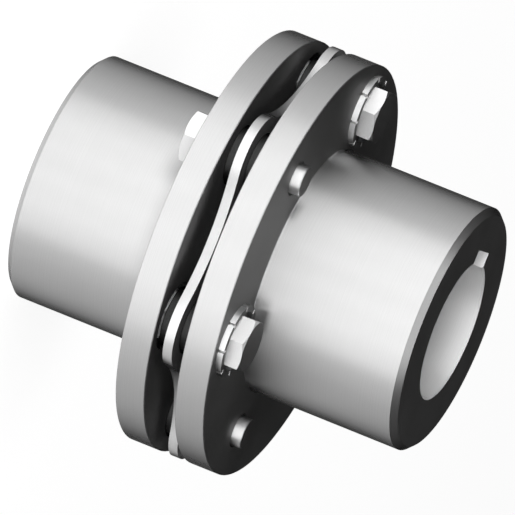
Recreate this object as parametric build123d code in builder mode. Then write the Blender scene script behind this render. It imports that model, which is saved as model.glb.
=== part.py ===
# Disc coupling: two flanged hubs, joined through a pack of thin spring-steel discs.
# Millimetres. The shaft axis is Z. The coupling stands on the lower hub's end face,
# whose centre is the origin. Both keyways and the first bolt point along +X.

from build123d import *
from math import cos, hypot, pi, radians, sin, tan
import os

os.makedirs("parts", exist_ok=True)

# ---------------------------------------------------------------- driving sizes
# hubs
hub_diameter = 65.0
hub_length = 50.0  # from the end face to the face that looks at the discs
flange_thickness = 8.0
end_chamfer = 1.6
root_fillet = 0.4
rim_chamfer = 0.2
bore_diameter = 36.0
bore_chamfer = 0.4
keyway_width = 10.0
keyway_depth = 3.3

# fitted bolts and thin nuts
thread_diameter = 8.0
shank_step = 0.5  # the fitted shank is this much larger than the thread, all round
head_across_flats = 13.0
head_height = 5.0
head_bevel = radians(30.0)
head_face_share = 1.0  # the round bevelled face, as a share of the width across flats
bolt_projection = 2.6  # how far the lower bolts stand out of the upper flange
thread_end_chamfer = 0.2
nut_height = 4.0
shank_margin = 0.4  # the shank runs this far past the discs under a washered head

# cupped lock washers, with a slotted rim round the heads on the upper flange
lock_washer_diameter = 19.2
lock_rim_height = 1.5
lock_rim_width = 1.6
lock_base_thickness = 0.3
lock_slot_width = 0.7
lock_slot_depth = 1.2
lock_slot_count = 8

# spacers, above and below the discs at every bolt
spacer_diameter = 16.0
spacer_thickness = 3.0
spacer_chamfer = 0.25

# disc pack
disc_thickness = 0.25
disc_count = 10
waist_offset = 1.5  # the waist between two bolts lies this far outside the bolt circle
inner_land = 11.0  # from the bolt circle in to the central hole

# spacing and fits
bolts_per_hub = 3
hub_gap = 0.9  # between the hub barrel and a lock washer
rim_land = 3.0  # between a nut pocket and the flange rim
pocket_gap = 1.0  # around a spacer where it faces the nut pocket
pocket_end_gap = 1.0  # between the nut and the floor of its pocket
pocket_chamfer = 0.3
fit_gap = 0.03  # radial, on the shank, in flange, spacers and discs
thread_gap = 0.03  # radial, between thread and nut, both drawn plain
misalign_gap = 0.6  # radial, around a bolt end in the other hub's flange

# ---------------------------------------------------------------- worked out
bolt_count = 2 * bolts_per_hub
bolt_step = 360.0 / bolt_count
pocket_diameter = spacer_diameter + 2 * pocket_gap
pocket_depth = nut_height + pocket_end_gap
bolt_circle = hub_diameter + lock_washer_diameter + 2 * hub_gap
bolt_radius = bolt_circle / 2
flange_diameter = bolt_circle + pocket_diameter + 2 * rim_land
lobe_radius = flange_diameter / 2 - bolt_radius
shank_diameter = thread_diameter + 2 * shank_step
shank_hole = shank_diameter + 2 * fit_gap
thread_hole = thread_diameter + 2 * thread_gap
clearance_hole = thread_diameter + 2 * misalign_gap
pack_thickness = disc_count * disc_thickness
flange_spacing = 2 * spacer_thickness + pack_thickness
overall_length = 2 * hub_length + flange_spacing
pack_bottom = hub_length + spacer_thickness
pack_top = pack_bottom + pack_thickness
shank_length = (
    lock_base_thickness + flange_thickness + spacer_thickness + pack_thickness + shank_margin
)
bolt_length = 2 * flange_thickness + flange_spacing + bolt_projection
hexagon_turn = 180.0 / 6  # puts a flat, not a corner, on the side away from the shaft
hexagon_corner = head_across_flats / (2 * cos(radians(hexagon_turn)))
hexagon_face = head_face_share * head_across_flats / 2
bevel_drop = (hexagon_corner - hexagon_face) * tan(head_bevel)

lower_angles = [bolt_step * (2 * i + 1) for i in range(bolts_per_hub)]
upper_angles = [bolt_step * 2 * i for i in range(bolts_per_hub)]


def bolt_plane(angle, height, facing):
    """A plane square to a bolt's axis, its x pointing away from the shaft, facing up or down."""
    turn = radians(angle)
    outward = (cos(turn), sin(turn), 0)
    centre = (bolt_radius * cos(turn), bolt_radius * sin(turn), height)
    return Plane(origin=centre, x_dir=outward, z_dir=(0, 0, facing))


def profile_plane(base):
    """The plane through the axis of base: its x is base's x, its y is base's normal."""
    return Plane(origin=base.origin, x_dir=base.x_dir, z_dir=-base.y_dir)


def turning_axis(base):
    return Axis(base.origin, base.z_dir)


def save(piece, name):
    piece.part.label = name
    export_step(piece.part, f"parts/{name}.step")


# ---------------------------------------------------------------- hubs
def make_hub(name, end_plane, own_start, other_start):
    """One hub, from its end face. own_start and other_start are the first angles
    of the holes for its own bolts and of the pockets for the other hub's nuts."""
    hub_radius = hub_diameter / 2
    flange_radius = flange_diameter / 2
    bore_radius = bore_diameter / 2
    flange_back = hub_length - flange_thickness

    with BuildPart() as hub:
        with BuildSketch(profile_plane(end_plane)):
            with BuildLine():
                Polyline(
                    (bore_radius + bore_chamfer, 0),
                    (hub_radius - end_chamfer, 0),
                    (hub_radius, end_chamfer),
                    (hub_radius, flange_back),
                    (flange_radius - rim_chamfer, flange_back),
                    (flange_radius, flange_back + rim_chamfer),
                    (flange_radius, hub_length - rim_chamfer),
                    (flange_radius - rim_chamfer, hub_length),
                    (bore_radius + bore_chamfer, hub_length),
                    (bore_radius, hub_length - bore_chamfer),
                    (bore_radius, bore_chamfer),
                    close=True,
                )
            make_face()
            root = vertices().sort_by_distance((hub_radius, flange_back))[0]
            fillet(root, root_fillet)
        revolve(axis=turning_axis(end_plane))

        # keyway, broached from end to end
        with BuildSketch(end_plane):
            keyway_reach = bore_radius + keyway_depth
            with Locations((keyway_reach / 2, 0)):
                Rectangle(keyway_reach, keyway_width)
        extrude(amount=hub_length, mode=Mode.SUBTRACT)

        # fitted holes for the hub's own bolts
        with BuildSketch(end_plane.offset(flange_back)):
            with PolarLocations(bolt_radius, bolts_per_hub, start_angle=own_start):
                Circle(shank_hole / 2)
        extrude(amount=flange_thickness, mode=Mode.SUBTRACT)

        # clearance holes, and pockets for the nuts of the other hub's bolts
        with BuildSketch(end_plane.offset(flange_back)):
            with PolarLocations(bolt_radius, bolts_per_hub, start_angle=other_start):
                Circle(clearance_hole / 2)
        extrude(amount=flange_thickness, mode=Mode.SUBTRACT)
        with BuildSketch(end_plane.offset(hub_length - pocket_depth)):
            with PolarLocations(bolt_radius, bolts_per_hub, start_angle=other_start):
                Circle(pocket_diameter / 2)
        extrude(amount=pocket_depth, mode=Mode.SUBTRACT)
        disc_side = hub.faces().sort_by(Axis(end_plane.origin, end_plane.z_dir))[-1]
        pocket_mouths = disc_side.edges().filter_by(
            lambda edge: abs(edge.length - pi * pocket_diameter) < pocket_chamfer
        )
        chamfer(pocket_mouths, pocket_chamfer)
    save(hub, name)


# ---------------------------------------------------------------- discs
def disc_outline_points():
    """Where a lobe's arc meets the waist's arc, and the waist's middle, at the first bolt.
    A lobe is centred on its bolt. The waist is a hollow arc, tangent to both lobes."""
    half_step = radians(bolt_step / 2)
    lobe_x = bolt_radius * cos(half_step)
    lobe_y = bolt_radius * sin(half_step)
    waist_radius = bolt_radius + waist_offset
    inset = waist_radius - lobe_x
    hollow_radius = (lobe_y**2 + inset**2 - lobe_radius**2) / (2 * (lobe_radius - inset))
    hollow_x = waist_radius + hollow_radius
    reach = hypot(hollow_x - lobe_x, lobe_y)
    share = lobe_radius / reach
    meet = (lobe_x + share * (hollow_x - lobe_x), lobe_y * (1 - share))
    return meet, (waist_radius, 0.0)


def turned(point, angle):
    turn = radians(angle)
    x, y = point
    return (x * cos(turn) - y * sin(turn), x * sin(turn) + y * cos(turn))


def make_disc(name, bottom):
    """One spring-steel disc: a ring with a lobe at each bolt and a waist between bolts."""
    meet, waist = disc_outline_points()
    mirrored_meet = (meet[0], -meet[1])
    tip = (flange_diameter / 2, 0.0)
    with BuildPart() as disc:
        with BuildSketch(Plane.XY.offset(bottom)):
            with BuildLine():
                for i in range(bolt_count):
                    middle = bolt_step * (i + 0.5)
                    next_bolt = bolt_step * (i + 1)
                    lobe_start = turned(meet, middle)
                    lobe_end = turned(mirrored_meet, middle + bolt_step)
                    ThreePointArc(turned(mirrored_meet, middle), turned(waist, middle), lobe_start)
                    ThreePointArc(lobe_start, turned(tip, next_bolt), lobe_end)
            make_face()
            Circle(bolt_radius - inner_land, mode=Mode.SUBTRACT)
            with PolarLocations(bolt_radius, bolt_count):
                Circle(shank_hole / 2, mode=Mode.SUBTRACT)
        extrude(amount=disc_thickness)
    save(disc, name)


# ---------------------------------------------------------------- fasteners
def make_bolt(name, seat):
    """A fitted bolt: hexagon head above the seat plane, shank and thread below it."""
    with BuildPart() as bolt:
        with BuildSketch(seat):
            RegularPolygon(hexagon_corner, 6, rotation=hexagon_turn)
        extrude(amount=head_height)
        with BuildSketch(profile_plane(seat)):
            with BuildLine():
                Polyline(
                    (0, 0),
                    (hexagon_corner, 0),
                    (hexagon_corner, head_height - bevel_drop),
                    (hexagon_face, head_height),
                    (0, head_height),
                    close=True,
                )
            make_face()
        revolve(axis=turning_axis(seat), mode=Mode.INTERSECT)
        with BuildSketch(profile_plane(seat)):
            with BuildLine():
                Polyline(
                    (0, 0),
                    (shank_diameter / 2, 0),
                    (shank_diameter / 2, -(shank_length - shank_step)),
                    (thread_diameter / 2, -shank_length),
                    (thread_diameter / 2, -(bolt_length - thread_end_chamfer)),
                    (thread_diameter / 2 - thread_end_chamfer, -bolt_length),
                    (0, -bolt_length),
                    close=True,
                )
            make_face()
        revolve(axis=turning_axis(seat))
    save(bolt, name)


def make_nut(name, seat):
    """A thin hexagon nut, bevelled at both faces, standing on the seat plane."""
    with BuildPart() as nut:
        with BuildSketch(seat):
            RegularPolygon(hexagon_corner, 6, rotation=hexagon_turn)
        extrude(amount=nut_height)
        with BuildSketch(profile_plane(seat)):
            with BuildLine():
                Polyline(
                    (thread_hole / 2, 0),
                    (hexagon_face, 0),
                    (hexagon_corner, bevel_drop),
                    (hexagon_corner, nut_height - bevel_drop),
                    (hexagon_face, nut_height),
                    (thread_hole / 2, nut_height),
                    close=True,
                )
            make_face()
        revolve(axis=turning_axis(seat), mode=Mode.INTERSECT)
    save(nut, name)


def make_spacer(name, seat):
    """A plain ground ring between a flange or nut and the discs."""
    with BuildPart() as spacer:
        with BuildSketch(seat):
            Circle(spacer_diameter / 2)
            Circle(shank_hole / 2, mode=Mode.SUBTRACT)
        extrude(amount=spacer_thickness)
        rims = spacer.edges().filter_by(GeomType.CIRCLE).group_by(SortBy.RADIUS)[-1]
        chamfer(rims, spacer_chamfer)
    save(spacer, name)


def make_lock_washer(name, seat):
    """A shallow cup with its rim upward, and radial slots cut in from outside the rim."""
    rim_radius = lock_washer_diameter / 2
    cup_radius = rim_radius - lock_rim_width
    slot_turn = 180.0 / lock_slot_count
    with BuildPart() as washer:
        with BuildSketch(seat):
            Circle(rim_radius)
            Circle(shank_hole / 2, mode=Mode.SUBTRACT)
        extrude(amount=lock_rim_height)
        with BuildSketch(seat.offset(lock_base_thickness)):
            Circle(cup_radius)
        extrude(amount=lock_rim_height, mode=Mode.SUBTRACT)
        with BuildSketch(seat):
            with PolarLocations(rim_radius, lock_slot_count, start_angle=slot_turn):
                Rectangle(2 * lock_slot_depth, lock_slot_width)
        extrude(amount=lock_rim_height, mode=Mode.SUBTRACT)
    save(washer, name)


# ---------------------------------------------------------------- the coupling
make_hub(
    "lower_hub",
    Plane(origin=(0, 0, 0), x_dir=(1, 0, 0), z_dir=(0, 0, 1)),
    own_start=lower_angles[0],
    other_start=upper_angles[0],
)
make_hub(
    "upper_hub",
    Plane(origin=(0, 0, overall_length), x_dir=(1, 0, 0), z_dir=(0, 0, -1)),
    own_start=upper_angles[0],
    other_start=lower_angles[0],
)

for i in range(disc_count):
    make_disc(f"disc_{i + 1:02d}", pack_bottom + i * disc_thickness)

for i in range(bolt_count):
    make_spacer(f"lower_spacer_{i + 1}", bolt_plane(bolt_step * i, hub_length, 1))
    make_spacer(f"upper_spacer_{i + 1}", bolt_plane(bolt_step * i, pack_top, 1))

# the lower bolts point up: heads under the lower flange, nuts in the upper flange
lower_seat = hub_length - flange_thickness
upper_pocket = overall_length - hub_length
for i, angle in enumerate(lower_angles):
    make_bolt(f"lower_bolt_{i + 1}", bolt_plane(angle, lower_seat, -1))
    make_nut(f"lower_bolt_nut_{i + 1}", bolt_plane(angle, upper_pocket, 1))

# the upper bolts point down, each with a lock washer under its head
upper_seat = overall_length - hub_length + flange_thickness
for i, angle in enumerate(upper_angles):
    head_seat = bolt_plane(angle, upper_seat + lock_base_thickness, 1)
    make_bolt(f"upper_bolt_{i + 1}", head_seat)
    make_nut(f"upper_bolt_nut_{i + 1}", bolt_plane(angle, hub_length, -1))
    # the lock washers all lie turned the same way
    washer_seat = Plane(origin=bolt_plane(angle, upper_seat, 1).origin)
    make_lock_washer(f"lock_washer_{i + 1}", washer_seat)
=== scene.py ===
import math
from collections import namedtuple

import bpy
from mathutils import Matrix, Vector

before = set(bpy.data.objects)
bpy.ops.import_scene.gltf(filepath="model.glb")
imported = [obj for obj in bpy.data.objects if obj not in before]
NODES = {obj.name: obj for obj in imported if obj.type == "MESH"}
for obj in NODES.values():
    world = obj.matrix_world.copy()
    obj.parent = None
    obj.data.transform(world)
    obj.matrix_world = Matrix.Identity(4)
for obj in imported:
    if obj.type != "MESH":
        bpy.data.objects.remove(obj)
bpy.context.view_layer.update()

MM = 0.001
WHITE = (1.0, 1.0, 1.0, 1.0)
BLACK = (0.0, 0.0, 0.0, 1.0)

# ---------------------------------------------------------------- camera
# The view is nearly parallel, from 15 degrees above the flanges, and rolled so that the shaft
# axis runs down to the right.
PICTURE = 515  # pixels along each side
PIXELS_PER_MM = 4.0
VIEW_TURN = math.radians(88.8)
VIEW_RISE = math.radians(15.0)
AXIS_FALL = math.radians(21.9)
AIM_HEIGHT = 54.70 * MM
AIM_ASIDE = 1.08 * MM
LENS = 1600.0  # lens and sensor in millimetres, as cameras have them
SENSOR = 36.0
CLIP_NEAR = 0.1
CLIP_FAR = 20.0

toward_camera = Vector(
    (
        math.cos(VIEW_RISE) * math.cos(VIEW_TURN),
        math.cos(VIEW_RISE) * math.sin(VIEW_TURN),
        math.sin(VIEW_RISE),
    )
)
axis_in_view = (Vector((0, 0, 1)) - toward_camera * toward_camera.z).normalized()
across = axis_in_view.cross(toward_camera)


def place_camera():
    data = bpy.data.cameras.new("camera")
    data.lens = LENS
    data.sensor_width = SENSOR
    field = PICTURE / PIXELS_PER_MM * MM
    distance = field * LENS / SENSOR
    data.clip_start = CLIP_NEAR
    data.clip_end = CLIP_FAR
    right = axis_in_view * math.cos(AXIS_FALL) - across * math.sin(AXIS_FALL)
    up = -axis_in_view * math.sin(AXIS_FALL) - across * math.cos(AXIS_FALL)
    aim = Vector((0, 0, AIM_HEIGHT)) + across * AIM_ASIDE
    place = aim + toward_camera * distance
    camera = bpy.data.objects.new("camera", data)
    turn = Matrix((right, up, toward_camera)).transposed()
    camera.matrix_world = Matrix.Translation(place) @ turn.to_4x4()
    bpy.context.scene.collection.objects.link(camera)
    bpy.context.scene.camera = camera


# ---------------------------------------------------------------- node helpers
class Nodes:
    """Short calls for building one material's node tree."""

    def __init__(self, tree):
        self.tree = tree

    def add(self, kind, inputs=None, **settings):
        node = self.tree.nodes.new(kind)
        for key, value in settings.items():
            setattr(node, key, value)
        for key, value in (inputs or {}).items():
            self.feed(node, key, value)
        return node

    def feed(self, node, key, value):
        if isinstance(value, bpy.types.NodeSocket):
            self.tree.links.new(value, node.inputs[key])
        else:
            node.inputs[key].default_value = value

    def math(self, operation, a, b=0.0):
        return self.add("ShaderNodeMath", {0: a, 1: b}, operation=operation).outputs[0]

    def blend(self, share, a, b):
        return self.add("ShaderNodeMix", {"Factor": share, "A": a, "B": b}).outputs[0]

    def remap(self, value, source, target):
        """Carry the source range to the target range, and clamp there."""
        limits = {1: source[0], 2: source[1], 3: target[0], 4: target[1]}
        return self.add("ShaderNodeMapRange", {"Value": value, **limits}).outputs[0]

    def split(self, vector):
        return self.add("ShaderNodeSeparateXYZ", {0: vector}).outputs


def new_material(name):
    material = bpy.data.materials.new(name)
    material.use_nodes = True
    material.node_tree.nodes.clear()
    return material, Nodes(material.node_tree)


# ---------------------------------------------------------------- steels
# tones: the darkest and lightest base colour. grain: the size of the tool marks. The last field
# is
# painted shade: the share of its tone that a flat end face keeps, so that end faces look darker.
Finish = namedtuple("Finish", "tones roughness grain bump faced")
HUB = Finish(tones=(0.57, 0.65), roughness=0.45, grain=0.25 * MM, bump=0.2, faced=0.74)
DISC = Finish(tones=(0.66, 0.72), roughness=0.38, grain=0.6 * MM, bump=0.1, faced=1.0)
BOLT = Finish(tones=(0.82, 0.88), roughness=0.4, grain=0.3 * MM, bump=0.15, faced=0.48)
SPACER = Finish(tones=(0.04, 0.065), roughness=0.5, grain=0.3 * MM, bump=0.15, faced=1.0)

# The wall of a hub's bore and its keyway lie inside this radius. Their colour is lighter and half
# matt: painted light, which brightens the shade inside the bore.
BORE_EDGE = 22.0 * MM
BORE_PAINTED_LIGHT_TONES = (0.88, 0.94)
BORE_ROUGHNESS = 0.55
BORE_METAL = 0.5

# Tool marks and a slow cloud make one pattern, which sets the tone and the gloss.
MARKS_SHARE = 0.6
CLOUD_SHARE = 0.4
MARKS_DETAIL = 3.0
MARKS_ROUGHNESS = 0.6
CLOUD_SCALE = 60.0
CLOUD_DETAIL = 4.0
CLOUD_ROUGHNESS = 0.55
TONE_FROM = (0.3, 0.7)
GLOSS_FROM = (0.25, 0.75)
GLOSS_SPREAD = 0.05
RELIEF = 0.01 * MM

# Surfaces that are not nearly level are turned: their gloss is stretched along the shaft axis.
LEVEL_LIMIT = 0.9  # of the normal's height, where a surface starts to count as a flat end face
FACED_ROUGHNESS = 0.38
STRETCH = 0.8
STRETCH_TURN = 0.25  # of a full turn, from around the shaft to along it
EDGE_TINT = BLACK  # gloss fades where a surface is seen at a grazing angle


def steel(name, finish, has_bore=False):
    """Satin steel: tool marks around the shaft, with a slow change of tone and of gloss."""
    material, n = new_material(name)
    place = n.add("ShaderNodeNewGeometry").outputs["Position"]
    x, y, z = n.split(place)
    squares = n.math("ADD", n.math("MULTIPLY", x, x), n.math("MULTIPLY", y, y))
    radius = n.math("SQRT", squares)
    lathe = n.add("ShaderNodeCombineXYZ", {0: radius, 1: z, 2: 0.0}).outputs[0]
    marks_inputs = {
        "Vector": lathe,
        "Scale": 1.0 / finish.grain,
        "Detail": MARKS_DETAIL,
        "Roughness": MARKS_ROUGHNESS,
    }
    marks = n.add("ShaderNodeTexNoise", marks_inputs, noise_dimensions="2D").outputs[0]
    cloud_inputs = {
        "Vector": place,
        "Scale": CLOUD_SCALE,
        "Detail": CLOUD_DETAIL,
        "Roughness": CLOUD_ROUGHNESS,
    }
    cloud = n.add("ShaderNodeTexNoise", cloud_inputs).outputs[0]
    both = n.math(
        "ADD", n.math("MULTIPLY", marks, MARKS_SHARE), n.math("MULTIPLY", cloud, CLOUD_SHARE)
    )
    tone = n.remap(both, TONE_FROM, finish.tones)
    rough = finish.roughness
    gloss = n.remap(both, GLOSS_FROM, (rough - GLOSS_SPREAD, rough + GLOSS_SPREAD))

    facing = n.add("ShaderNodeNewGeometry").outputs["Normal"]
    steep = n.math("ABSOLUTE", n.split(facing)[2])
    upright = n.math("LESS_THAN", steep, LEVEL_LIMIT)
    # painted shade: flat end faces keep only a share of their tone, so they look darker
    tone = n.math("MULTIPLY", tone, n.blend(upright, finish.faced, 1.0))
    gloss = n.math("ADD", gloss, n.blend(upright, FACED_ROUGHNESS - rough, 0.0))

    metal = 1.0
    if has_bore:
        # painted light: the bore wall gets a lighter tone and a half matt finish, which lift its
        # shade
        inside = n.math("MULTIPLY", n.math("LESS_THAN", radius, BORE_EDGE), upright)
        tone = n.blend(inside, tone, n.remap(both, TONE_FROM, BORE_PAINTED_LIGHT_TONES))
        gloss = n.blend(inside, gloss, n.math("ADD", gloss, BORE_ROUGHNESS - rough))
        metal = n.blend(inside, 1.0, BORE_METAL)

    colour = n.add("ShaderNodeCombineColor", {0: tone, 1: tone, 2: tone}).outputs[0]
    bump_inputs = {"Height": marks, "Strength": finish.bump, "Distance": RELIEF}
    shader = n.add(
        "ShaderNodeBsdfPrincipled",
        {
            "Base Color": colour,
            "Metallic": metal,
            "Roughness": gloss,
            "Specular Tint": EDGE_TINT,
            "Anisotropic": n.math("MULTIPLY", upright, STRETCH),
            "Anisotropic Rotation": STRETCH_TURN,
            "Normal": n.add("ShaderNodeBump", bump_inputs).outputs[0],
            "Tangent": n.add("ShaderNodeTangent", direction_type="RADIAL", axis="Z").outputs[0],
        },
        distribution="GGX",
    )
    n.add("ShaderNodeOutputMaterial", {0: shader.outputs[0]})
    return material


def dress(prefixes, material):
    """Give the material to each CAD node whose name starts with one of the prefixes."""
    for name, node in NODES.items():
        if name.startswith(prefixes):
            node.data.materials.clear()
            node.data.materials.append(material)


# ---------------------------------------------------------------- floor and world
# Seen directly, mirrored or through glass, the floor is a pale card that also glows up to white.
# To all other light it is a plain pale card, so it adds no glow to the object.
FLOOR_REACH = 12.0
FLOOR_DROP = 0.05 * MM  # keeps the floor off the end face that stands on it
FLOOR_GLOW = 0.84
FLOOR_CARD = 0.4
FLOOR_BOUNCE = 0.8
WORLD_LEVEL = 0.03


def grey(level):
    return (level, level, level, 1.0)


def lay_floor():
    mesh = bpy.data.meshes.new("floor")
    sides = ((-1, -1), (1, -1), (1, 1), (-1, 1))
    corners = [(a * FLOOR_REACH, b * FLOOR_REACH, -FLOOR_DROP) for a, b in sides]
    mesh.from_pydata(corners, [], [(0, 1, 2, 3)])
    floor = bpy.data.objects.new("floor", mesh)
    bpy.context.scene.collection.objects.link(floor)
    material, n = new_material("floor_white")
    seen = n.add("ShaderNodeLightPath")
    direct = n.math("MAXIMUM", seen.outputs["Is Camera Ray"], seen.outputs["Is Glossy Ray"])
    direct = n.math("MAXIMUM", direct, seen.outputs["Is Transmission Ray"])
    card = n.add("ShaderNodeBsdfDiffuse", {"Color": grey(FLOOR_CARD)})
    glow = n.add("ShaderNodeEmission", {"Color": WHITE, "Strength": FLOOR_GLOW})
    lifted = n.add("ShaderNodeAddShader", {0: card.outputs[0], 1: glow.outputs[0]})
    pale = n.add("ShaderNodeBsdfDiffuse", {"Color": grey(FLOOR_BOUNCE)})
    mixed = n.add("ShaderNodeMixShader", {0: direct, 1: pale.outputs[0], 2: lifted.outputs[0]})
    n.add("ShaderNodeOutputMaterial", {0: mixed.outputs[0]})
    mesh.materials.append(material)


def light_world():
    world = bpy.data.worlds.new("world")
    world.use_nodes = True
    bpy.context.scene.world = world
    background = world.node_tree.nodes["Background"]
    background.inputs["Color"].default_value = WHITE
    background.inputs["Strength"].default_value = WORLD_LEVEL


# ---------------------------------------------------------------- lamps
# Soft boxes stand in a fan around the camera's side, weaker towards its ends, with one wide box
# overhead. Turn and rise are in degrees, sizes and distances in metres, powers in watts.
LAMP_DISTANCE = 1.6
LAMP_AIM = Vector((0, 0, 54.0 * MM))
KEY_TURN = 82.0
KEY_RISE = 11.0
KEY_WIDTH = 0.8
KEY_HEIGHT = 0.6
KEY_POWER = 6.6
KEY_STEP = 26.0  # between two boxes of the fan
KEY_SHARES = (1.0, 1.0, 0.85, 0.15)  # of KEY_POWER, from the middle of the fan outwards
HIGH_RISE = 80.0
HIGH_WIDTH = 2.2
HIGH_DEPTH = 0.8
HIGH_POWER = 7.0


def hang_lamp(name, turn, rise, width, height, power):
    """A soft box that looks at the middle of the coupling."""
    a, e = math.radians(turn), math.radians(rise)
    direction = Vector((math.cos(e) * math.cos(a), math.cos(e) * math.sin(a), math.sin(e)))
    data = bpy.data.lights.new(name, "AREA")
    data.shape = "RECTANGLE"
    data.size = width
    data.size_y = height
    data.energy = power
    lamp = bpy.data.objects.new(name, data)
    lamp.location = LAMP_AIM + direction * LAMP_DISTANCE
    lamp.rotation_mode = "QUATERNION"
    lamp.rotation_quaternion = direction.to_track_quat("Z", "Y")
    bpy.context.scene.collection.objects.link(lamp)


def hang_lamps():
    for place, share in enumerate(KEY_SHARES):
        for side in (1, -1) if place else (1,):
            name = f"key_{place}{'a' if side > 0 else 'b'}"
            turn = KEY_TURN + side * place * KEY_STEP
            hang_lamp(name, turn, KEY_RISE, KEY_WIDTH, KEY_HEIGHT, KEY_POWER * share)
    hang_lamp("high", KEY_TURN, HIGH_RISE, HIGH_WIDTH, HIGH_DEPTH, HIGH_POWER)


# ---------------------------------------------------------------- the scene
place_camera()
dress(("lower_hub", "upper_hub"), steel("hub_steel", HUB, has_bore=True))
dress("disc_", steel("disc_steel", DISC))
dress(("lower_bolt", "upper_bolt"), steel("bolt_steel", BOLT))
dress("lock_washer", steel("washer_steel", BOLT))
dress(("lower_spacer", "upper_spacer"), steel("spacer_steel", SPACER))
lay_floor()
light_world()
hang_lamps()

bpy.context.scene.view_settings.view_transform = "Standard"
